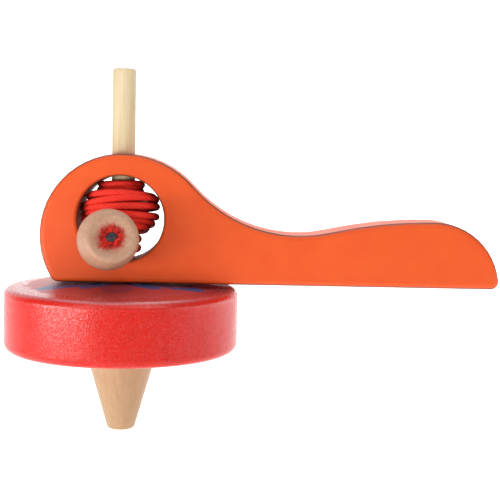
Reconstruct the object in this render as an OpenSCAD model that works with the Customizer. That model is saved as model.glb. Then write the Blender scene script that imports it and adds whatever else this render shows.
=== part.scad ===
// Pull-string spinning top: a turned wooden top on a dowel stem, a flat handle with a round
// window for the wound string, and a barrel toggle on the string's end.
// Frame: Z up along the stem, origin at the middle of the tip's flat end, handle along +X.

/* [Disc] */
// Diameter of the disc
disc_d = 60.6; // [56:0.2:64]
// Thickness of the disc at its edge
disc_t = 16.2; // [14:0.1:18]
// Rise of the disc's domed top face towards its middle
disc_crown = 1.3; // [0.5:0.1:2]
// Radius of the disc's rounded edges
disc_edge_r = 2; // [1:0.25:4]

/* [Tip] */
// Length of the cone below the disc
tip_len = 21.5; // [18:0.5:26]
// Diameter of the cone where it meets the disc
tip_base_d = 19.2; // [15:0.2:22]
// Diameter of the cone at its end
tip_end_d = 7; // [5:0.2:9]
// Radius of the rounding at the cone's end
tip_end_r = 0.9; // [0.4:0.1:1.4]
// Depth of the stem's socket in the cone
tip_socket = 10; // [6:0.5:12]

/* [Stem] */
// Diameter of the dowel
stem_d = 6; // [5:0.1:7]
// Height of the stem's upper end above the ground
stem_top = 94; // [88:0.5:104]
// Chamfer on the dowel's ends
stem_chamfer = 0.4; // [0.2:0.1:0.8]
// Diameter of the cross hole that the string starts in
cross_hole_d = 2.4; // [2:0.1:2.8]

/* [Handle] */
// Thickness of the board
board_t = 15; // [13:0.5:18]
// Radius of the board's rounded edges
board_edge_r = 1.3; // [0.8:0.1:1.8]
// Gap between the disc's dome and the handle
lift = 0.3; // [0.2:0.1:1]
// Height of the head
head_h = 33; // [31:0.5:36]
// Height of the waist behind the head
waist_h = 13; // [11:0.5:15]
// Height of the hump at the far end
hump_h = 17.1; // [16:0.1:19]
// Distance from the stem to the waist
waist_x = 45.3; // [42:0.1:50]
// Distance from the stem to the hump
hump_x = 80.5; // [74:0.5:90]
// Diameter of the window
window_d = 22; // [20.5:0.5:23]
// Height of the window's middle above the handle's underside
window_h = 16.4; // [15.5:0.1:17]
// Radial running clearance of the stem in the handle and in the winding
running = 0.08; // [0.03:0.01:0.1]

/* [Toggle] */
// Largest diameter of the barrel
toggle_d = 15; // [12:0.5:18]
// Diameter of the barrel's end faces
toggle_end_d = 12; // [9:0.5:13]
// Length of the barrel
toggle_len = 13; // [11:0.5:15]
// Diameter of the hole through the barrel
toggle_hole_d = 2.6; // [2.4:0.1:3]

/* [String] */
// Diameter of the braided string
string_d = 1.8; // [1.6:0.1:2]

/* [Hidden] */
$fn = 72;
eps = 0.01;

disc_top = tip_len + disc_t + disc_crown;
handle_z = disc_top + lift;
window_z = handle_z + window_h;
window_r = window_d / 2;
bore_r = stem_d / 2 + running;
tip_socket_z = tip_len - tip_socket;
cross_hole_z = handle_z + 9;

// The board's outline is a chain of arcs, each tangent to the next.
head_x = 0.5;
head_r = 21.1;
head_z = head_h - head_r;
crest_r = 24;
crest_z = head_h - crest_r;
waist_rise = waist_h - crest_z;
waist_run = waist_x - head_x;
waist_r = (pow(waist_run, 2) + pow(waist_rise, 2) - pow(crest_r, 2)) / (2 * (crest_r - waist_rise));
waist_z = waist_h + waist_r;
crest_end = atan2(waist_z - crest_z, waist_run);
hump_drop = waist_z - hump_h;
hump_run = hump_x - waist_x;
hump_r = (pow(hump_run, 2) + pow(hump_drop, 2) - pow(waist_r, 2)) / (2 * (waist_r - hump_drop));
hump_z = hump_h - hump_r;
waist_end = atan2(hump_run, waist_z - hump_z);
toe_r = 2;
toe_x = hump_x + sqrt(pow(hump_h - toe_r, 2) - pow(toe_r, 2));
toe_end = asin(toe_r / (hump_h - toe_r));
heel_r = 2.5;
heel_x = head_x - sqrt(pow(head_r - heel_r, 2) - pow(head_z - heel_r, 2));
heel_start = 180 + asin((head_z - heel_r) / (head_r - heel_r));
// A point in the neck from which a straight line reaches the whole outline.
neck_x = 30;
neck_z = 5;

// The wound string's outer shape: radius against height above the handle's underside.
winding_shape = [[5.2, 7.3], [5.2, 11], [7.1, 12.2], [9.3, 14], [10.1, 15.6], [10.1, 19.6],
    [9.2, 21.4], [6.1, 22.4], [5.9, 25.4]];
winding_low = 7.3;
winding_high = 25.4;

// The toggle hangs in front of the window, its outer end turned a little up and to +X.
toggle_pos = [-2, -18, 51.3];
toggle_turn = 14;
toggle_lift = 11;
toggle_dir = [sin(toggle_turn) * cos(toggle_lift), -cos(toggle_turn) * cos(toggle_lift), sin(toggle_lift)];
toggle_bulge = (toggle_d - toggle_end_d) / 2;
toggle_side_r = (pow(toggle_len / 2, 2) + pow(toggle_bulge, 2)) / (2 * toggle_bulge);
dish_r = 3.2;
dish_depth = 1.6;

// The tail leaves the winding's left side and runs to the toggle and through its hole.
knot_r = 1.9;
knot_at = toggle_len / 2 - 1;
tail_free = [[-7.9, -4.9, 51.5], [-6.9, -7, 50.9], [-5.6, -8.9, 50.4], [-4.5, -10.4, 50.1]];
tail_held = [for (s = [-toggle_len / 2, -3, 0, 3]) toggle_pos + toggle_dir * s];
tail_route = concat(tail_free, tail_held, [toggle_pos + toggle_dir * (knot_at - knot_r)]);
tail_sides = 8;

// Points along an arc, leaving out the last one.
function arc(centre, r, from, to, steps) =
    [for (i = [0 : steps - 1]) centre + r * [cos(from + (to - from) * i / steps),
        sin(from + (to - from) * i / steps)]];

// The board's outline moved inwards by inset.
function board_outline(inset) = concat(
    arc([toe_x, toe_r], toe_r - inset, -90, toe_end, 6),
    arc([hump_x, 0], hump_h - inset, toe_end, 90, 12),
    arc([hump_x, hump_z], hump_r - inset, 90, 90 + waist_end, 4),
    arc([waist_x, waist_z], waist_r + inset, 270 + waist_end, 180 + crest_end, 12),
    arc([head_x, crest_z], crest_r - inset, crest_end, 90, 8),
    arc([head_x, head_z], head_r - inset, 90, heel_start, 18),
    arc([heel_x, heel_r], heel_r - inset, heel_start, 270, 5));

// Faces that join rings of equal length into the side wall of a closed skin.
function wall_faces(rings, count) =
    [for (k = [0 : rings - 2], i = [0 : count - 1])
        [k * count + (i + 1) % count, k * count + i, (k + 1) * count + i, (k + 1) * count + (i + 1) % count]];

// One flat face over the first ring and one over the last.
function end_faces(rings, count) =
    [[for (i = [0 : count - 1]) i], [for (i = [count - 1 : -1 : 0]) (rings - 1) * count + i]];

// Fans from a middle point over the first ring, and from the point after it over the last.
function fan_faces(rings, count) = let (middle = rings * count, last = (rings - 1) * count) concat(
    [for (i = [0 : count - 1]) [middle, i, (i + 1) % count]],
    [for (i = [0 : count - 1]) [middle + 1, last + (i + 1) % count, last + i]]);

// A flat board with rounded edges, its broad faces square to Y.
module rounded_board() {
    turns = [0, 22.5, 45, 67.5, 90];
    front = [for (a = turns) [-board_t / 2 + board_edge_r * (1 - cos(a)), board_edge_r * (1 - sin(a))]];
    back = [for (i = [len(front) - 1 : -1 : 0]) [-front[i][0], front[i][1]]];
    layers = concat(front, back);
    count = len(board_outline(0));
    rings = [for (layer = layers, p = board_outline(layer[1])) [p[0], layer[0], p[1]]];
    middles = [for (side = [-1, 1]) [neck_x, side * board_t / 2, neck_z]];
    faces = concat(wall_faces(len(layers), count), fan_faces(len(layers), count));
    polyhedron(concat(rings, middles), faces);
}

// The ring that a rounded rim takes off the edge of a round hole, lying on Z = 0.
module rim_cut(hole_r, rim_r) {
    rotate_extrude()
        difference() {
            translate([hole_r - 1, -rim_r])
                square([rim_r + 1, rim_r + 1]);
            translate([hole_r + rim_r, -rim_r])
                circle(r = rim_r);
        }
}

// A tube swept along points: a ring of flat sides square to the route at each point.
module tube(route, r, sides) {
    last = len(route) - 1;
    function along(i) = let (d = route[min(i + 1, last)] - route[max(i - 1, 0)]) d / norm(d);
    function side(i) = let (s = cross(along(i), [0, 0, 1])) s / norm(s);
    points = [for (i = [0 : last], k = [0 : sides - 1])
        let (s = side(i), u = cross(s, along(i)), a = 360 * k / sides)
        route[i] + r * (cos(a) * s + sin(a) * u)];
    polyhedron(points, concat(wall_faces(last + 1, sides), end_faces(last + 1, sides)));
}

module handle() {
    rim_r = 1;
    color("#f4622e")
        difference() {
            translate([0, 0, handle_z])
                rounded_board();
            translate([0, 0, window_z])
                rotate([90, 0, 0])
                    cylinder(r = window_r, h = board_t + 2, center = true);
            for (side = [0, 180])
                rotate([0, 0, side])
                    translate([0, -board_t / 2, window_z])
                        rotate([90, 0, 0])
                            rim_cut(window_r, rim_r);
            translate([0, 0, handle_z - 1])
                cylinder(r = bore_r, h = head_h + 2);
        }
}

module disc() {
    r = disc_d / 2;
    flat_r = r - disc_edge_r;
    dome_r = (pow(flat_r, 2) + pow(disc_crown, 2)) / (2 * disc_crown);
    color("#c8202c")
        translate([0, 0, tip_len])
            rotate_extrude()
                difference() {
                    union() {
                        square([flat_r, disc_t]);
                        translate([0, disc_edge_r])
                            square([r, disc_t - 2 * disc_edge_r]);
                        for (z = [disc_edge_r, disc_t - disc_edge_r])
                            translate([flat_r, z])
                                circle(r = disc_edge_r);
                        intersection() {
                            square([flat_r, disc_t + disc_crown]);
                            translate([0, disc_t + disc_crown - dome_r])
                                circle(r = dome_r, $fn = 1440);
                        }
                    }
                    translate([-1, -1])
                        square([stem_d / 2 + 1, disc_t + disc_crown + 2]);
                }
}

module stem() {
    r = stem_d / 2;
    color("#ead9b4")
        difference() {
            rotate_extrude()
                polygon([[0, tip_socket_z], [r - stem_chamfer, tip_socket_z], [r, tip_socket_z + stem_chamfer],
                    [r, stem_top - stem_chamfer], [r - stem_chamfer, stem_top], [0, stem_top]]);
            translate([0, 0, cross_hole_z])
                rotate([0, 90, 0])
                    cylinder(d = cross_hole_d, h = stem_d + 2, center = true);
        }
}

module tip() {
    base_r = tip_base_d / 2;
    end_r = tip_end_d / 2;
    slope = atan2(base_r - end_r, tip_len);
    round_x = end_r - tip_end_r * (1 - sin(slope)) / cos(slope);
    color("#c99763")
        rotate_extrude()
            difference() {
                polygon(concat([[0, 0]],
                    arc([round_x, tip_end_r], tip_end_r, -90, -slope, 6),
                    [[round_x + tip_end_r * cos(slope), tip_end_r - tip_end_r * sin(slope)],
                        [base_r, tip_len], [0, tip_len]]));
                translate([-1, tip_socket_z])
                    square([stem_d / 2 + 1, tip_socket + 1]);
            }
}

// Outer shape of the string that is wound round the stem in the window.
module string_winding() {
    color("#c41420")
        translate([0, 0, handle_z])
            rotate_extrude()
                polygon(concat([[bore_r, winding_low]], winding_shape, [[bore_r, winding_high]]));
}

module string_tail() {
    color("#c41420")
        tube(tail_route, string_d / 2, tail_sides);
}

// The string's end, knotted in the dish of the toggle's outer face.
module string_knot() {
    color("#a80f1a")
        translate(toggle_pos + toggle_dir * knot_at)
            sphere(r = knot_r);
}

module toggle() {
    half = toggle_len / 2;
    color("#c99763")
        translate(toggle_pos)
            rotate([90 - toggle_lift, 0, toggle_turn])
                difference() {
                    rotate_extrude()
                        intersection() {
                            translate([0, -half])
                                square([toggle_d, toggle_len]);
                            translate([toggle_d / 2 - toggle_side_r, 0])
                                circle(r = toggle_side_r);
                        }
                    cylinder(d = toggle_hole_d, h = toggle_len + 2, center = true);
                    translate([0, 0, half - dish_depth])
                        cylinder(r1 = toggle_hole_d / 2, r2 = dish_r, h = dish_depth + eps);
                }
}

handle();
disc();
stem();
tip();
string_winding();
string_tail();
string_knot();
toggle();
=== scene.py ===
import math
import random

import bmesh
import bpy
from mathutils import Matrix, Vector


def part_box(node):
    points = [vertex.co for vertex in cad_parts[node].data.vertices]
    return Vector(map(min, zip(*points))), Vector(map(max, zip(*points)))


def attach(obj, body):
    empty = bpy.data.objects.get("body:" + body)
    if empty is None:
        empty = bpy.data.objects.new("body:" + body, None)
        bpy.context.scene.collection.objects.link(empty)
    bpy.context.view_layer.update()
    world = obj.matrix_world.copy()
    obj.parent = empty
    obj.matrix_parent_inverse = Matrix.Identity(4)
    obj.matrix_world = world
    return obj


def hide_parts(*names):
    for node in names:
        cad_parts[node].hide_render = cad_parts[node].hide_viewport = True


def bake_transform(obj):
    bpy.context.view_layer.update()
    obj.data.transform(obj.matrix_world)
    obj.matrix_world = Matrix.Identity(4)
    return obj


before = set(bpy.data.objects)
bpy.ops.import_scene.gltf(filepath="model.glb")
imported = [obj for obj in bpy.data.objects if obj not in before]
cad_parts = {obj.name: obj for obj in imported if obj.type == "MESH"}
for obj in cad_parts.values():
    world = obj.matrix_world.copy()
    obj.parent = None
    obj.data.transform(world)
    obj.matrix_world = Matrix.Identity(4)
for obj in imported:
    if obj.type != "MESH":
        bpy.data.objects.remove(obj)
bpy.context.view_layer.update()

mm = 0.001

handle_low, handle_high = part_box("handle")
underside = handle_low.z
board_half = handle_high.y  # half the board's thickness
window_z = underside + 16.4 * mm
window_r = 11 * mm
disc_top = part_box("disc")[1].z

string_d = 1.8 * mm
string_step = 0.3 * mm  # from one ring of the string's mesh to the next

# The toggle's middle, its shape, and how it is turned. Its axis points out of its outer face.
toggle_at = Vector((-2, -18, 51.3)) * mm
toggle_len = 13 * mm
toggle_r = 7.5 * mm
toggle_end_r = 6 * mm
toggle_hole_r = 1.3 * mm
bowl_depth = 1.2 * mm  # the hollow in its outer face, where the string's end lies
toggle_turn = math.radians(14)
toggle_lift = math.radians(11)
toggle_place = (Matrix.Translation(toggle_at) @ Matrix.Rotation(toggle_turn, 4, "Z")
                @ Matrix.Rotation(math.pi / 2 - toggle_lift, 4, "X"))
toggle_axis = (toggle_place.to_3x3() @ Vector((0, 0, 1))).normalized()


# ---- stage, light and camera ----

def rgb(code):
    """Turns an sRGB hex colour into the linear one that a shader takes."""
    parts = [int(code[i:i + 2], 16) / 255 for i in (1, 3, 5)]
    return tuple(c / 12.92 if c <= 0.04045 else ((c + 0.055) / 1.055) ** 2.4 for c in parts) + (1,)


def add(mat, kind, inputs=None, **settings):
    """Adds a node with its settings, and gives each named input a value or a link."""
    node = mat.node_tree.nodes.new("ShaderNode" + kind)
    for name, value in settings.items():
        setattr(node, name, value)
    for name, value in (inputs or {}).items():
        if isinstance(value, bpy.types.NodeSocket):
            mat.node_tree.links.new(value, node.inputs[name])
        else:
            node.inputs[name].default_value = value
    return node


def blank(name):
    """A new material with nothing but its output."""
    mat = bpy.data.materials.new(name)
    mat.use_nodes = True
    mat.node_tree.nodes.clear()
    return mat


def finish_with(mat, shader):
    """Links the shader to the material's output."""
    out = add(mat, "OutputMaterial")
    mat.node_tree.links.new(shader.outputs[0], out.inputs["Surface"])
    return mat


def nothing_selected():
    """Leaves edit mode and deselects every object, so that an operator acts on the new piece alone."""
    if bpy.context.mode != "OBJECT":
        bpy.ops.object.mode_set(mode="OBJECT")
    bpy.ops.object.select_all(action="DESELECT")


def make_stage():
    """A white paper sweep that curves up behind the top, at the depth where the top lands when let go."""
    floor = -60 * mm
    front, back = -1.6, 0.9  # the paper lies flat from front to back
    bend, steps = 0.5, 16  # then it curves up on this radius
    wall_top, half_width = 1.8, 2.4
    curve = [math.pi / 2 * i / steps for i in range(steps + 1)]
    profile = [(front, floor)]
    profile += [(back + bend * math.sin(a), floor + bend * (1 - math.cos(a))) for a in curve]
    profile.append((back + bend, wall_top))
    mesh = bpy.data.meshes.new("paper_sweep")
    verts = [(side * half_width, y, z) for y, z in profile for side in (-1, 1)]
    faces = [(2 * i, 2 * i + 1, 2 * i + 3, 2 * i + 2) for i in range(len(profile) - 1)]
    mesh.from_pydata(verts, [], faces)
    sweep = bpy.data.objects.new("paper_sweep", mesh)
    bpy.context.scene.collection.objects.link(sweep)
    for face in mesh.polygons:
        face.use_smooth = True
    # Thin white paper over a light table, so that shadows on it stay faint.
    mat = blank("lit_white_paper")
    paper = add(mat, "BsdfDiffuse", {"Color": rgb("#f7f7f7")}).outputs[0]
    glow = add(mat, "Emission", {"Strength": 0.5}).outputs[0]
    mesh.materials.append(finish_with(mat, add(mat, "AddShader", {0: paper, 1: glow})))


def softbox(name, at, aim, size, power):
    """A soft light aimed at a point: it shows in the gloss, and not to the camera."""
    lamp = bpy.data.lights.new(name, "AREA")
    lamp.shape = "RECTANGLE"
    lamp.size, lamp.size_y = size
    lamp.energy = power
    obj = bpy.data.objects.new(name, lamp)
    bpy.context.scene.collection.objects.link(obj)
    obj.location = at
    obj.rotation_euler = (Vector(aim) - Vector(at)).to_track_quat("-Z", "Y").to_euler()
    obj.visible_camera = False


def make_flag():
    """A black card behind the disc's right side, which the gloss there mirrors in place of the backdrop."""
    middle = Vector((31, 100, 52)) * mm
    width, height = 36 * mm, 30 * mm
    nothing_selected()
    bpy.ops.mesh.primitive_plane_add(size=1)
    card = bpy.context.object
    card.name = card.data.name = "flag"
    card.data.transform(Matrix.Translation(middle) @ Matrix.Rotation(math.pi / 2, 4, "X")
                        @ Matrix.Diagonal((width, height, 1, 1)))
    mat = blank("black_card")
    card.data.materials.append(finish_with(mat, add(mat, "BsdfDiffuse", {"Color": rgb("#101010")})))
    card.visible_camera = False


def make_light():
    """A dim white room with a soft light overhead, a key, a fill, two low panels and a lit backdrop."""
    world = bpy.data.worlds.new("studio")
    world.use_nodes = True
    bpy.context.scene.world = world
    room = world.node_tree.nodes["Background"].inputs
    room["Color"].default_value = rgb("#ffffff")
    room["Strength"].default_value = 0.2
    middle = (0.03, 0, 0.04)
    softbox("overhead", (0.05, -0.1, 0.9), middle, (0.9, 0.7), 3.4)
    # The key and the fill draw the highlights along the disc's rounded upper edge.
    softbox("key", (-0.5, -0.85, 0.65), middle, (0.5, 0.35), 1.3)
    softbox("fill", (0.42, -0.75, 0.6), middle, (0.7, 0.22), 1.55)
    # Two low panels beside the disc show in its gloss.
    softbox("left_panel", (-0.15, -0.13, 0.024), (0, 0, 0.024), (0.18, 0.046), 0.25)
    softbox("right_panel", (0.24, 0.01, 0.026), (0, 0, 0.026), (0.36, 0.05), 0.115)
    # This one lights the paper behind.
    softbox("backdrop", (0, 0.5, 1.1), (0, 1.4, 0.2), (0.9, 0.6), 11)
    bpy.context.scene.view_settings.view_transform = "Standard"


def make_camera():
    """About 28 cm in front, level with the handle's top, looking a little down and a little to the right."""
    data = bpy.data.cameras.new("camera")
    data.sensor_width = 36
    data.lens = 76
    data.clip_start = 0.01
    cam = bpy.data.objects.new("camera", data)
    bpy.context.scene.collection.objects.link(cam)
    eye = Vector((25, -275.5, 72.7)) * mm
    turn, down, roll = math.radians(1.72), math.radians(5.16), math.radians(1.25)
    cam.matrix_world = (Matrix.Translation(eye) @ Matrix.Rotation(-turn, 4, "Z")
                        @ Matrix.Rotation(math.pi / 2 - down, 4, "X") @ Matrix.Rotation(roll, 4, "Z"))
    bpy.context.scene.camera = cam


# ---- string ----

def smooth_route(points, step):
    """Points every step along a smooth curve through the given ones."""
    ends = [2 * points[0] - points[1]] + points + [2 * points[-1] - points[-2]]
    finer = 3  # points on the curve for each step along it
    fine = []
    for a, b, c, d in zip(ends, ends[1:], ends[2:], ends[3:]):
        pieces = max(1, round((c - b).length / step * finer))
        for i in range(pieces):
            t = i / pieces
            fine.append(0.5 * (2 * b + (c - a) * t + (2 * a - 5 * b + 4 * c - d) * t * t
                               + (3 * b - a - 3 * c + d) * t ** 3))
    fine.append(points[-1])
    route, gone = [fine[0]], 0.0
    for a, b in zip(fine, fine[1:]):
        gone += (b - a).length
        if gone >= step:
            route.append(b)
            gone = 0.0
    if (route[-1] - fine[-1]).length > step / 2:
        route.append(fine[-1])
    return route


def braided_tube(name, route, d, material):
    """A round braid of twelve strands, six each way, that pass over and under each other along a route."""
    strands, sides = 6, 24
    lay = 0.75 * d  # a strand moves one place round the cord in this length
    relief = 0.05 * d  # how far a strand's crown stands above the gaps
    mean_crown = 0.6  # about a strand's mean height, taken off so that the tube keeps its diameter
    mesh = bpy.data.meshes.new(name)
    bm = bmesh.new()
    uv = bm.loops.layers.uv.new("along")
    crown = bm.verts.layers.float.new("crown")
    along = (route[1] - route[0]).normalized()
    side = along.cross(Vector((0, 0, 1))).normalized()
    rings, gone, lengths = [], 0.0, []
    for i, p in enumerate(route):
        ahead = (route[min(i + 1, len(route) - 1)] - route[max(i - 1, 0)]).normalized()
        side = (along.rotation_difference(ahead) @ side).normalized()
        side = (side - ahead * side.dot(ahead)).normalized()
        along = ahead
        if i:
            gone += (p - route[i - 1]).length
        lengths.append(gone)
        up = along.cross(side)
        ring = []
        for k in range(sides):
            a = 2 * math.pi * k / sides
            over = strands * k / sides + gone / lay
            under = strands * k / sides - gone / lay
            swap = (math.floor(over) + math.floor(under)) % 2
            height = abs(math.sin(math.pi * (over if swap else under)))
            r = d / 2 + relief * (height - mean_crown)
            v = bm.verts.new(p + r * (math.cos(a) * side + math.sin(a) * up))
            v[crown] = height
            ring.append(v)
        rings.append(ring)
    for i, (low, high) in enumerate(zip(rings, rings[1:])):
        for k in range(sides):
            n = (k + 1) % sides
            face = bm.faces.new((low[k], low[n], high[n], high[k]))
            face.smooth = True
            spots = ((k, i), (k + 1, i), (k + 1, i + 1), (k, i + 1))
            for loop, (u, v) in zip(face.loops, spots):
                loop[uv].uv = (u / sides, lengths[v] / (math.pi * d))
    bm.faces.new(list(reversed(rings[0])))
    bm.faces.new(rings[-1])
    bm.to_mesh(mesh)
    bm.free()
    mesh.materials.append(material)
    obj = bpy.data.objects.new(name, mesh)
    bpy.context.scene.collection.objects.link(obj)
    return obj


def winding_route():
    """The wound string's middle line, from the stem's cross hole to the winding's left side."""
    # Turns since the start, radius, height above the handle's underside, and how far the turn sits off the
    # stem's axis, in mm. The string climbs next to the stem, makes two turns at the top, fills out the middle
    # down, up and down again, climbs once more in wide turns, and comes down behind them to the left side.
    stations = [(0, 3.4, 8.9, 0), (0.12, 4, 8.1, 0), (0.26, 4.2, 7.5, 0), (0.6, 4.1, 7.5, 0),
                (6.5, 4, 21.6, 0), (7, 4.5, 23.2, 0.2), (7.5, 5.5, 23.5, 0.5), (7.75, 4.9, 23.5, 0.6),
                (8, 4.7, 24.4, 0.5), (8.5, 5.3, 25, 0.5), (8.75, 4.4, 25.2, 0.3), (9, 4.8, 25, 0.3),
                (9.3, 6.6, 23, 0.3), (9.6, 6.2, 21, 0.3), (11.1, 5.8, 15.5, 0.3), (12.2, 7.2, 20.2, 0.3),
                (12.6, 7, 17, 0.3), (13.1, 6.3, 13.2, 0.2), (13.75, 6.4, 13.1, 0.2), (14.25, 6.7, 14, 0.4),
                (14.75, 7.3, 14.9, 0.5), (15.25, 8.7, 15.8, 0.6), (15.75, 9.1, 16.7, 0.6),
                (16.75, 9.3, 18.5, 0.6), (17.5, 9.1, 19.8, 0.6), (17.75, 9.1, 20.2, 0.5), (18, 9, 20.6, 0.5),
                (18.5, 8.1, 21.6, 0.4), (18.75, 8.6, 22, 0.4), (19, 8.2, 21.8, 0.4), (19.2, 9.4, 20.4, 0.4),
                (19.5, 9.2, 18.2, 0.4)]
    rng = random.Random(7)
    waves = [(rng.uniform(0.3, 1.7), rng.uniform(0, 6.28), rng.uniform(0, 6.28)) for _ in range(5)]
    wander_out, wander_up = 0.05, 0.07  # how far each wave moves the string, in mm
    outer_turns = 12.5  # where they begin
    last = stations[-1][0]
    per_turn = 24
    points = []
    span = 0
    for i in range(round(last * per_turn) + 1):
        turn = i / per_turn
        while turn > stations[span + 1][0]:
            span += 1
        (t0, r0, h0, off0), (t1, r1, h1, off1) = stations[span], stations[span + 1]
        f = (turn - t0) / (t1 - t0)
        angle = 2 * math.pi * turn
        ease = min(1, turn * 2, (last - turn) * 2)
        r = r0 + (r1 - r0) * f + ease * wander_out * sum(math.sin(w * angle + a) for w, a, _ in waves)
        h = h0 + (h1 - h0) * f + ease * wander_up * sum(math.sin(w * angle + b) for w, _, b in waves)
        # The outer turns lean, each a little differently: they rise over the front and drop behind.
        lean = (1.4 + 0.35 * math.sin(2.2 * turn)) * min(1, max(0, turn - outer_turns))
        h -= lean * ease * math.sin(angle + 0.35 * math.sin(1.7 * turn))
        off = off0 + (off1 - off0) * f
        x = r * math.cos(angle) - off
        y = r * math.sin(angle)
        points.append(Vector((x, y, underside / mm + h)) * mm)
    return points


def red_cord():
    """Braided cotton cord, red with dye: soft and matt, with shade painted into the dips between strands and
    towards its outline.
    """
    mat = blank("red_braided_cotton")
    crown = add(mat, "Attribute", attribute_name="crown").outputs["Fac"]
    # Painted shade: the red darkens where a strand dips under another, and lightens on its crown.
    lit = add(mat, "MapRange", {"Value": crown, "From Min": -0.5, "From Max": 0.8}).outputs["Result"]
    dye_with_painted_shade = add(mat, "MixRGB", {"Fac": lit, "Color1": rgb("#8a0c08"),
                               "Color2": rgb("#fa3426")}).outputs["Color"]
    # The dye has taken a little unevenly, in patches about 3 mm across.
    place = add(mat, "TexCoord").outputs["Object"]
    patches = add(mat, "TexNoise", {"Vector": place, "Scale": 1 / (2.86 * mm), "Detail": 3}).outputs["Fac"]
    thin = add(mat, "MapRange", {"Value": patches, "From Min": 0.4, "From Max": 0.8,
                                 "To Max": 0.5}).outputs["Result"]
    color = add(mat, "MixRGB", {"Fac": thin, "Color1": dye_with_painted_shade, "Color2": rgb("#f03a28")}).outputs["Color"]
    # Painted shade: where the cord is seen at a slant, towards its outline, its red is darkened.
    slant = add(mat, "LayerWeight", {"Blend": 0.4}).outputs["Facing"]
    painted_slant_shade = add(mat, "MapRange", {"Value": slant, "From Min": 0.35, "From Max": 0.8,
                                 "To Max": 0.92}).outputs["Result"]
    color = add(mat, "MixRGB", {"Fac": painted_slant_shade, "Color1": color, "Color2": rgb("#4e0303")}).outputs["Color"]
    # One unit of the UV map is once round the cord. The fibres are coarser than real ones so that they show.
    fibre = 0.094 * mm
    round_cord = math.pi * string_d
    uv = add(mat, "TexCoord").outputs["UV"]
    fuzz = add(mat, "TexNoise", {"Vector": uv, "Scale": round(round_cord / fibre),
                                 "Detail": 4}).outputs["Fac"]
    bump = add(mat, "Bump", {"Height": fuzz, "Strength": 0.35, "Distance": 0.1 * mm}).outputs["Normal"]
    shader = add(mat, "BsdfPrincipled", {"Base Color": color, "Roughness": 0.7, "Normal": bump,
                                         "Specular IOR Level": 0.25, "Sheen Weight": 0.04,
                                         "Sheen Roughness": 0.4, "Sheen Tint": rgb("#ff5a4a")})
    return finish_with(mat, shader)


def singed_end():
    """The cord's end, singed hard: a dark, slightly shiny bead, with 12 lumps to the centimetre."""
    mat = blank("singed_cord_end")
    place = add(mat, "TexCoord").outputs["Object"]
    ash = add(mat, "TexNoise", {"Vector": place, "Scale": 12 / (10 * mm), "Detail": 3}).outputs["Fac"]
    color = add(mat, "MixRGB", {"Fac": ash, "Color1": rgb("#0a0508"),
                                "Color2": rgb("#2c1a26")}).outputs["Color"]
    bump = add(mat, "Bump", {"Height": ash, "Strength": 0.8, "Distance": 0.3 * mm}).outputs["Normal"]
    shader = add(mat, "BsdfPrincipled", {"Base Color": color, "Roughness": 0.25, "Normal": bump})
    return finish_with(mat, shader)


# ---- finishes ----

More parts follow.
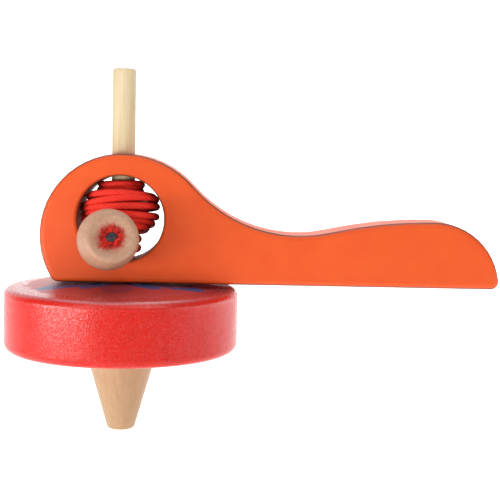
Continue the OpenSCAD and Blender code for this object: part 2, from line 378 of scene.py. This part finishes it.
def orange_enamel():
    """Orange enamel sprayed on a sanded board: satin, faintly mottled, with brown edges and painted shade at
    its foot.
    """
    mat = blank("orange_enamel")
    place = add(mat, "TexCoord").outputs["Object"]
    mottle = add(mat, "TexNoise", {"Vector": place, "Scale": 1 / (7.14 * mm), "Detail": 4,
                                   "Roughness": 0.6}).outputs["Fac"]
    paint = add(mat, "MixRGB", {"Fac": mottle, "Color1": rgb("#de490a"),
                                "Color2": rgb("#e85a14")}).outputs["Color"]
    # A brown line runs round the board's outline, on the rounded edge of each face.
    across = add(mat, "SeparateXYZ", {"Vector": place}).outputs["Y"]
    off_middle = add(mat, "Math", {0: across}, operation="ABSOLUTE").outputs[0]
    inner = add(mat, "MapRange", {"Value": off_middle, "From Min": board_half - 1.5 * mm,
                                  "From Max": board_half - 1.1 * mm}).outputs["Result"]
    outer = add(mat, "MapRange", {"Value": off_middle, "From Min": board_half - 0.6 * mm,
                                  "From Max": board_half - 0.25 * mm, "To Min": 1,
                                  "To Max": 0}).outputs["Result"]
    line = add(mat, "Math", {0: inner, 1: outer}, operation="MULTIPLY").outputs[0]
    patchy = add(mat, "MapRange", {"Value": mottle, "From Min": 0.3, "From Max": 0.6, "To Min": 0.6,
                                   "To Max": 0.95}).outputs["Result"]
    # Painted shade: along the board's foot the brown line is wider, and goes right down to the underside.
    height = add(mat, "SeparateXYZ", {"Vector": place}).outputs["Z"]
    low = add(mat, "MapRange", {"Value": height, "From Min": underside + 0.25 * mm,
                                "From Max": underside + 0.6 * mm, "To Min": 1,
                                "To Max": 0}).outputs["Result"]
    painted_foot_shade = add(mat, "Math", {0: inner, 1: low}, operation="MULTIPLY").outputs[0]
    either = add(mat, "Math", {0: line, 1: painted_foot_shade}, operation="MAXIMUM").outputs[0]
    edge_line_with_painted_shade = add(mat, "Math", {0: either, 1: patchy}, operation="MULTIPLY").outputs[0]
    edged = add(mat, "MixRGB", {"Fac": edge_line_with_painted_shade, "Color1": paint, "Color2": rgb("#4e2417")}).outputs["Color"]
    # Painted shade: the window's wall is coloured brown, for the shade inside the window, and made dull.
    from_window = add(mat, "VectorMath", {0: place, 1: (0, 0, window_z)},
                      operation="SUBTRACT").outputs["Vector"]
    upright = add(mat, "VectorMath", {0: from_window, 1: (1, 0, 1)}, operation="MULTIPLY").outputs["Vector"]
    away = add(mat, "VectorMath", {0: upright}, operation="LENGTH").outputs["Value"]
    painted_window_shade = add(mat, "MapRange", {"Value": away, "From Min": window_r + 0.1 * mm,
                                 "From Max": window_r + 0.5 * mm, "To Min": 0.8,
                                 "To Max": 0}).outputs["Result"]
    color = add(mat, "MixRGB", {"Fac": painted_window_shade, "Color1": edged, "Color2": rgb("#6e4432")}).outputs["Color"]
    rough = add(mat, "MapRange", {"Value": painted_window_shade, "To Min": 0.48, "To Max": 0.8}).outputs["Result"]
    # The spray has a slight orange peel, 14 dimples to the centimetre.
    skin = add(mat, "TexNoise", {"Vector": place, "Scale": 14 / (10 * mm), "Detail": 2}).outputs["Fac"]
    bump = add(mat, "Bump", {"Height": skin, "Strength": 0.3, "Distance": 0.03 * mm}).outputs["Normal"]
    shader = add(mat, "BsdfPrincipled", {"Base Color": color, "Roughness": rough, "Normal": bump,
                                         "IOR": 1.44})
    return finish_with(mat, shader)


def red_lacquer():
    """Red lacquer on turned wood, its gloss broken by fine pores, with a hand-painted flower on the dome."""
    mat = blank("red_lacquer")
    place = add(mat, "TexCoord").outputs["Object"]
    spot = add(mat, "SeparateXYZ", {"Vector": place})
    x, y, z = (spot.outputs[i] for i in range(3))
    flat = add(mat, "CombineXYZ", {"X": x, "Y": y}).outputs["Vector"]
    out = add(mat, "VectorMath", {0: flat}, operation="LENGTH").outputs["Value"]
    angle = add(mat, "Math", {0: y, 1: x}, operation="ARCTAN2").outputs[0]
    # The brush's edge wanders, and the red is uneven, both about every 4 mm.
    wobble = add(mat, "TexNoise", {"Vector": place, "Scale": 1 / (3.85 * mm), "Detail": 3}).outputs["Fac"]
    brush = add(mat, "MapRange", {"Value": wobble, "To Min": -3 * mm, "To Max": 3 * mm}).outputs["Result"]
    reach = add(mat, "Math", {0: out, 1: brush}, operation="ADD").outputs[0]

    def petals(count, turn, start, end):
        """1 inside a ring of petals that reach to the end radius, with spaces between that come in to the
        start.
        """
        swing = add(mat, "Math", {0: angle, 1: count, 2: -count * math.radians(turn)},
                    operation="MULTIPLY_ADD").outputs[0]
        wave = add(mat, "Math", {0: swing}, operation="COSINE").outputs[0]
        edge = add(mat, "MapRange", {"Value": wave, "From Min": -0.5, "From Max": 1, "To Min": start * mm,
                                     "To Max": end * mm}).outputs["Result"]
        room = add(mat, "Math", {0: edge, 1: reach}, operation="SUBTRACT").outputs[0]
        return add(mat, "MapRange", {"Value": room, "From Min": 0, "From Max": 0.4 * mm}).outputs["Result"]

    base = add(mat, "MixRGB", {"Fac": wobble, "Color1": rgb("#c01203"),
                               "Color2": rgb("#d01805")}).outputs["Color"]
    # Painted shade: the dome's ground is a darker, duller red than the sides, for the shade under the handle;
    # its pink tinge is its own paint.
    flower = add(mat, "MixRGB", {"Fac": wobble, "Color1": rgb("#aa3438"),
                                 "Color2": rgb("#bc4046")}).outputs["Color"]
    # Leaves, sepals, the bloom and its heart: how many petals, their turn, from and to which radius in mm.
    for count, turn, start, end, paint in ((3, -27, -40, 25, "#34508c"), (5, -90, 11, 20, "#8e3a58"),
                                           (5, -52, 2, 17, "#33508e"), (5, -52, 2, 9, "#a8608a")):
        flower = add(mat, "MixRGB", {"Fac": petals(count, turn, start, end), "Color1": flower,
                                     "Color2": rgb(paint)}).outputs["Color"]
    # The ground and the flower cover the dome, and end just below it on the rounded edge.
    paint_low = disc_top - 2 * mm
    on_top = add(mat, "MapRange", {"Value": z, "From Min": paint_low,
                                   "From Max": paint_low + 0.1 * mm}).outputs["Result"]
    color = add(mat, "MixRGB", {"Fac": on_top, "Color1": base, "Color2": flower}).outputs["Color"]
    # Out to about 25 mm the painted top is duller than the lacquer.
    painted = add(mat, "Math", {0: petals(1, 0, 25, 25), 1: on_top}, operation="MULTIPLY").outputs[0]
    # 27 pores to the centimetre, coarser than real ones so that they show.
    pores = add(mat, "TexNoise", {"Vector": place, "Scale": 27 / (10 * mm), "Detail": 2}).outputs["Fac"]
    pits = add(mat, "MapRange", {"Value": pores, "From Min": 0.4, "From Max": 0.6}).outputs["Result"]
    bump = add(mat, "Bump", {"Height": pits, "Strength": 1, "Distance": 0.022 * mm}).outputs["Normal"]
    dull = add(mat, "MapRange", {"Value": pits, "To Min": 0.3, "To Max": 0.15}).outputs["Result"]
    rough = add(mat, "MapRange", {"Value": painted, "To Min": dull, "To Max": 0.42}).outputs["Result"]
    grainy = add(mat, "MapRange", {"Value": pits, "To Min": 0.25, "To Max": 0.7}).outputs["Result"]
    # The lacquer flows thicker over the rounded upper edge: the grain shows less there and the gloss more.
    gloss = add(mat, "MapRange", {"Value": z, "From Min": disc_top - 3.6 * mm, "From Max": disc_top - 3 * mm,
                                  "To Min": grainy, "To Max": 1}).outputs["Result"]
    shader = add(mat, "BsdfPrincipled", {"Base Color": color, "Roughness": rough, "Normal": bump, "IOR": 1.43,
                                         "Specular IOR Level": gloss})
    return finish_with(mat, shader)


def pale_wood(name, light, dark, along, rough=0.6, stain=None):
    """Close-grained wood, sanded and unfinished: faint streaks along one axis and a little sheen."""
    mat = blank(name)
    place = add(mat, "TexCoord").outputs["Object"]
    stretch = add(mat, "Mapping", {"Vector": place, "Scale": along}).outputs["Vector"]
    # 9 streaks to the centimetre, coarser than real ones so that they show, and bands about 6 mm wide.
    grain = add(mat, "TexNoise", {"Vector": stretch, "Scale": 9 / (10 * mm), "Detail": 5,
                                  "Roughness": 0.65}).outputs["Fac"]
    streak = add(mat, "MapRange", {"Value": grain, "From Min": 0.3, "From Max": 0.7}).outputs["Result"]
    fine = add(mat, "MixRGB", {"Fac": streak, "Color1": rgb(dark), "Color2": rgb(light)}).outputs["Color"]
    broad = add(mat, "TexNoise", {"Vector": stretch, "Scale": 1 / (6.25 * mm), "Detail": 2}).outputs["Fac"]
    tone = add(mat, "MapRange", {"Value": broad, "From Min": 0.45, "From Max": 0.75,
                                 "To Max": 0.5}).outputs["Result"]
    color = add(mat, "MixRGB", {"Fac": tone, "Color1": fine, "Color2": rgb(dark)}).outputs["Color"]
    if stain:
        # Dye from the string has rubbed into the wood round this point, in blots 1.25 mm across.
        off = add(mat, "VectorMath", {0: place, 1: stain}, operation="SUBTRACT").outputs["Vector"]
        away = add(mat, "VectorMath", {0: off}, operation="LENGTH").outputs["Value"]
        blot = add(mat, "TexNoise", {"Vector": place, "Scale": 1 / (1.25 * mm), "Detail": 3}).outputs["Fac"]
        reach = add(mat, "Math", {0: blot, 1: -3.4 * mm, 2: away}, operation="MULTIPLY_ADD").outputs[0]
        dye = add(mat, "MapRange", {"Value": reach, "From Min": 0.7 * mm, "From Max": 2.4 * mm, "To Min": 0.8,
                                    "To Max": 0}).outputs["Result"]
        color = add(mat, "MixRGB", {"Fac": dye, "Color1": color, "Color2": rgb("#b8281e")}).outputs["Color"]
    bump = add(mat, "Bump", {"Height": grain, "Strength": 0.3, "Distance": 0.05 * mm}).outputs["Normal"]
    shader = add(mat, "BsdfPrincipled", {"Base Color": color, "Roughness": rough, "Normal": bump})
    return finish_with(mat, shader)


def give(node, material):
    """Gives a CAD node its finish."""
    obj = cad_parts[node]
    obj.data.materials.clear()
    obj.data.materials.append(material)


def turned(name, profile, sides, material):
    """Turns a piece on the Z axis: a ring is drawn out along the profile's (radius, height) points."""
    nothing_selected()
    (r, z), rest = profile[0], profile[1:]
    bpy.ops.mesh.primitive_circle_add(vertices=sides, radius=r, location=(0, 0, z))
    obj = bpy.context.object
    obj.name = obj.data.name = name
    bpy.ops.object.mode_set(mode="EDIT")
    for next_r, next_z in rest:
        bpy.ops.mesh.extrude_edges_move(TRANSFORM_OT_translate={"value": (0, 0, next_z - z)})
        bpy.ops.transform.resize(value=(next_r / r, next_r / r, 1), center_override=(0, 0, next_z))
        r, z = next_r, next_z
    bpy.ops.mesh.select_all(action="SELECT")
    bpy.ops.mesh.remove_doubles(threshold=1e-7)
    bpy.ops.mesh.normals_make_consistent(inside=False)
    bpy.ops.object.mode_set(mode="OBJECT")
    bpy.ops.object.transform_apply()
    bpy.ops.object.shade_smooth_by_angle(angle=math.radians(40))
    obj.data.materials.append(material)
    return obj


def make_toggle(wood):
    """The barrel: swollen sides, softened ends, a bowl in its outer face and a hole right through."""
    half = toggle_len / 2
    bulge = toggle_r - toggle_end_r
    side_r = (half ** 2 + bulge ** 2) / (2 * bulge)  # the arc along its side
    soft = 1.2 * mm  # the ends' rounding
    chamfer = 0.2 * mm  # where the string comes in at the back

    def girth(z):
        """The barrel's radius at a height from its middle."""
        return toggle_r - side_r + math.sqrt(side_r ** 2 - z ** 2)

    barrel = [(girth(z), z) for z in [(-1 + i / 9) * (half - soft) for i in range(19)]]
    edge_r = girth(half - soft)
    rim = [(edge_r - soft * (1 - math.cos(a)), half - soft * (1 - math.sin(a)))
           for a in [math.radians(d) for d in (84, 66, 48, 30, 12)]]
    bowl_r = edge_r - 1.05 * soft
    dished = []
    for i in range(17):
        f = i / 16
        rise = f * f * (3 - 2 * f)  # from the hole, level at first, up to the rim
        dished.append((toggle_hole_r + (bowl_r - toggle_hole_r) * f, half - bowl_depth * (1 - rise) ** 0.8))
    back = [(toggle_hole_r, chamfer - half), (toggle_hole_r + chamfer, -half)]
    profile = back + [(r, -z) for r, z in rim] + barrel + rim[::-1] + dished[::-1] + back[:1]
    obj = turned("toggle_barrel", profile, 96, wood)
    obj.data.transform(toggle_place)
    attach(obj, "pull")
    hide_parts("toggle")


def make_string():
    """The string: wound on the stem, its tail through the toggle, and its end in the toggle's bowl."""
    cord = red_cord()
    route = smooth_route(winding_route(), string_step)
    wound = braided_tube("string_wound", route, string_d, cord)
    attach(wound, "winding")
    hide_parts("string_winding")

    # Down the winding's left side, round its front, free to the toggle's back, and along the toggle's hole.
    free = [Vector(p) * mm for p in ((-9.55, 1, 57.7), (-9.75, -0.9, 56.6), (-9.4, -2.9, 54.4),
                                     (-7.9, -4.9, 51.5), (-6.9, -7, 50.9), (-5.6, -8.9, 50.4),
                                     (-4.5, -10.4, 50.1))]
    held = [toggle_at + toggle_axis * s * mm for s in (-6.5, -3, 0, 3, 5.2)]
    tail = braided_tube("string_tail_run", smooth_route(free + held, string_step), string_d, cord)
    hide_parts("string_tail")
    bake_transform(tail)

    knot = make_frayed_end(cord)


def make_frayed_end(cord):
    """The string's cut end in the toggle's bowl: a singed bead with loose red fibres lying round it."""
    rng = random.Random(3)
    floor = toggle_len / 2 - bowl_depth
    up = Vector((0, 0, 1))
    mesh = bpy.data.meshes.new("string_frayed_end")
    bm = bmesh.new()
    crown = bm.verts.layers.float.new("crown")
    # The bead is a lumpy ball, pressed flat and sunk a little into the hole.
    for v in bmesh.ops.create_uvsphere(bm, u_segments=24, v_segments=16, radius=1.7 * mm)["verts"]:
        a = math.atan2(v.co.y, v.co.x)
        v.co *= 1 + 0.12 * math.sin(2 * a + 1) + 0.05 * math.sin(4 * a + 900 * v.co.z)
        v.co.z = v.co.z * 0.6 + floor - 0.1 * mm
    bead = set(bm.faces)

    fibres, sides, lengths = 170, 5, 6
    root_r = 0.9 * mm  # where the fibres come out of the bead
    bowl_run = 3.6 * mm  # from the hole's edge to where the bowl is full height
    for _ in range(fibres):
        turn, swirl = rng.uniform(0, 2 * math.pi), rng.uniform(-0.7, 0.7)
        reach = rng.uniform(1.9, 3.5 + 0.5 * math.sin(2 * turn) + 0.5 * math.sin(5 * turn + 1)) * mm
        shade = rng.choice((-0.3, 0.3, 0.7, 0.9))
        thick, lift = rng.uniform(0.1, 0.22) * mm, rng.uniform(0.1, 0.8) * mm
        rings = []
        for i in range(lengths + 1):
            f = i / lengths
            r = root_r + (reach - root_r) * f
            a = turn + swirl * f * f
            bowl = bowl_depth * min(1, max(0, (r - toggle_hole_r) / bowl_run)) ** 2
            out = Vector((math.cos(a), math.sin(a), 0))
            aside = Vector((-out.y, out.x, 0))
            centre = out * r + up * (floor + bowl + 0.05 * mm + lift * math.sin(math.pi * f * 0.85))
            w = thick * (1 - 0.75 * f)
            ring = []
            for k in range(sides):
                b = 2 * math.pi * k / sides
                v = bm.verts.new(centre + w * (math.cos(b) * aside + math.sin(b) * up))
                v[crown] = shade
                ring.append(v)
            rings.append(ring)
        for low, high in zip(rings, rings[1:]):
            for k in range(sides):
                n = (k + 1) % sides
                bm.faces.new((low[k], low[n], high[n], high[k]))
        bm.faces.new(list(reversed(rings[0])))
        bm.faces.new(rings[-1])
    bmesh.ops.recalc_face_normals(bm, faces=bm.faces)
    for face in bm.faces:
        face.smooth = True
        face.material_index = 1 if face in bead else 0
    bm.transform(toggle_place)
    bm.to_mesh(mesh)
    bm.free()
    mesh.materials.append(cord)
    mesh.materials.append(singed_end())
    obj = bpy.data.objects.new("string_frayed_end", mesh)
    bpy.context.scene.collection.objects.link(obj)
    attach(obj, "pull")
    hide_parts("string_knot")
    return obj


make_stage()
make_flag()
make_light()
make_camera()
make_string()
give("handle", orange_enamel())
give("disc", red_lacquer())
# Three close-grained woods: pinkish beech, cream birch and tan maple, each with its grain along the piece.
make_toggle(pale_wood("beech_toggle", "#bc9378", "#ab7f64", (1, 0.15, 1), 0.48,
                      stain=toggle_at + toggle_axis * (toggle_len / 2 - 1 * mm)))
give("stem", pale_wood("birch_dowel", "#ddcca6", "#d0b78c", (1, 1, 0.05)))
give("tip", pale_wood("maple_tip", "#b6936b", "#a7835b", (1, 1, 0.1), 0.45))
